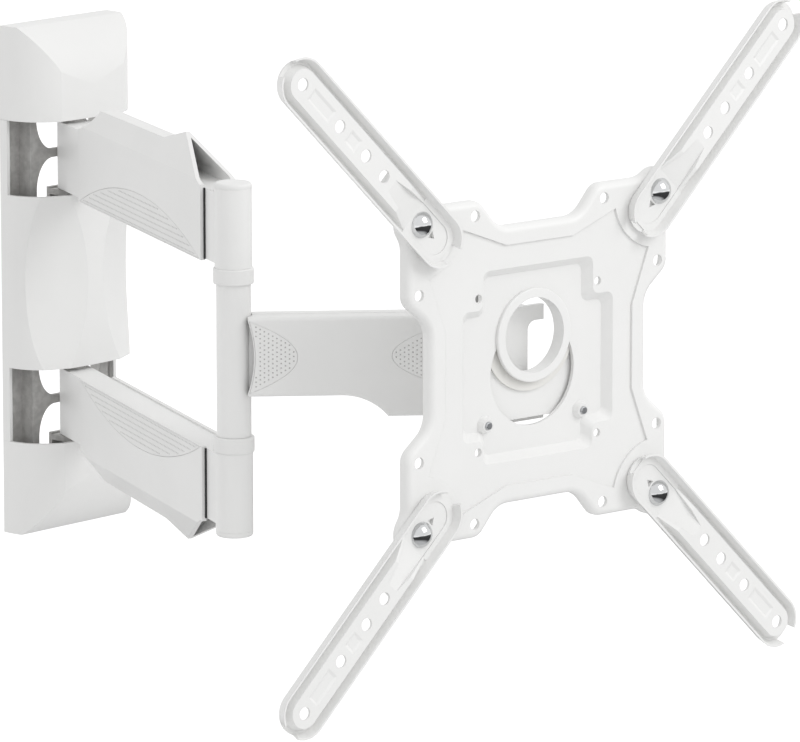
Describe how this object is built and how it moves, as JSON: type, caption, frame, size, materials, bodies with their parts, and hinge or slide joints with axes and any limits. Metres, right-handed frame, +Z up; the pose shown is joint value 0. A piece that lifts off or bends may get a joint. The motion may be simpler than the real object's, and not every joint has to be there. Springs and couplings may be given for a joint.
{
  "type": "full motion screen wall mount",
  "caption": "White full motion wall mount: covered wall plate, twin rear arms, a single forearm, and a stamped screen plate with swinging extension arms.",
  "frame": {"origin": "middle of the wall bolt pattern on the back of the wall plate", "axes": "+Y into the wall, the mount reaches out along -Y, +Z up, +X to the right seen from the room"},
  "size_m": [0.4307, 0.5096, 0.4344],
  "materials": {
    "white_steel": "satin powder coat",
    "white_cover": "satin moulded",
    "textured_inlay": "matt, fine raised dots",
    "nylon": "matt",
    "bright_screw": "polished",
    "zinc_steel": "zinc plated"
  },
  "bodies": {
    "wall": {"wall_plate": "zinc_steel", "wall_cover_top": "white_cover", "wall_cover_middle": "white_cover", "wall_cover_bottom": "white_cover", "wall_pivot_bolts": "zinc_steel", "wall_pivot_nuts": "zinc_steel"},
    "rear_arms": {"upper_arm_beam": "white_steel", "upper_arm_wall_bushes": "nylon", "upper_arm_cover": "white_cover", "upper_arm_inlays": "textured_inlay", "upper_elbow_sleeve": "white_steel", "upper_elbow_collar": "white_cover", "upper_elbow_cap": "white_cover", "lower_arm_beam": "white_steel", "lower_arm_wall_bushes": "nylon", "lower_arm_cover": "white_cover", "lower_arm_inlays": "textured_inlay", "lower_elbow_sleeve": "white_steel", "lower_elbow_collar": "white_cover", "lower_elbow_cap": "white_cover", "elbow_shaft": "zinc_steel"},
    "forearm": {"elbow_tube": "white_steel", "elbow_bushes": "nylon", "forearm_beam": "white_steel", "forearm_front_cover": "white_cover", "forearm_rear_cover": "white_cover", "forearm_near_pad": "textured_inlay", "forearm_far_pad": "textured_inlay", "forearm_cover_screws": "zinc_steel", "head_barrel": "white_steel", "head_bushes": "nylon"},
    "swivel": {"swivel_bracket": "white_steel", "swivel_bolt": "zinc_steel", "swivel_nut": "zinc_steel", "tilt_bolts": "zinc_steel", "tilt_nuts": "zinc_steel", "tilt_washers": "nylon"},
    "tilt": {"tilt_bracket": "white_steel", "roll_hub": "white_steel", "roll_washer": "nylon"},
    "plate": {"screen_plate": "white_steel", "roll_lock_screws": "zinc_steel", "arm_screws": "bright_screw", "arm_screw_nuts": "zinc_steel"},
    "reach_upper_left": {"reach_arm_upper_left": "white_steel"},
    "reach_upper_right": {"reach_arm_upper_right": "white_steel"},
    "reach_lower_left": {"reach_arm_lower_left": "white_steel"},
    "reach_lower_right": {"reach_arm_lower_right": "white_steel"}
  },
  "joints": [
    {"name": "shoulder", "type": "hinge", "parent": "wall", "child": "rear_arms", "pos_m": [-0.008, -0.026, 0], "axis": [0, 0, 1], "range_deg": [-63, 100]},
    {"name": "elbow", "type": "hinge", "parent": "rear_arms", "child": "forearm", "pos_m": [-0.14142, -0.31212, 0], "axis": [0, 0, 1], "range_deg": [-145, 75]},
    {"name": "swivel", "type": "hinge", "parent": "forearm", "child": "swivel", "pos_m": [-0.0181, -0.42473, 0], "axis": [0, 0, -1], "range_deg": [-130, 20]},
    {"name": "tilt", "type": "hinge", "parent": "swivel", "child": "tilt", "pos_m": [-0.02136, -0.44952, -0.026], "axis": [0.9914, -0.1305, 0], "range_deg": [-5, 12]},
    {"name": "roll", "type": "hinge", "parent": "tilt", "child": "plate", "pos_m": [-0.02417, -0.47083, 0.02], "axis": [-0.1305, -0.9914, 0], "range_deg": [-3, 3]},
    {"name": "reach_turn_upper_left", "type": "hinge", "parent": "plate", "child": "reach_upper_left", "pos_m": [-0.12351, -0.45927, 0.104], "axis": [-0.1305, -0.9914, 0], "range_deg": [-45, 45]},
    {"name": "reach_turn_upper_right", "type": "hinge", "parent": "plate", "child": "reach_upper_right", "pos_m": [0.07478, -0.48537, 0.104], "axis": [-0.1305, -0.9914, 0], "range_deg": [-45, 45]},
    {"name": "reach_turn_lower_left", "type": "hinge", "parent": "plate", "child": "reach_lower_left", "pos_m": [-0.12351, -0.45927, -0.096], "axis": [-0.1305, -0.9914, 0], "range_deg": [-45, 45]},
    {"name": "reach_turn_lower_right", "type": "hinge", "parent": "plate", "child": "reach_lower_right", "pos_m": [0.07478, -0.48537, -0.096], "axis": [-0.1305, -0.9914, 0], "range_deg": [-45, 45]}
  ]
}
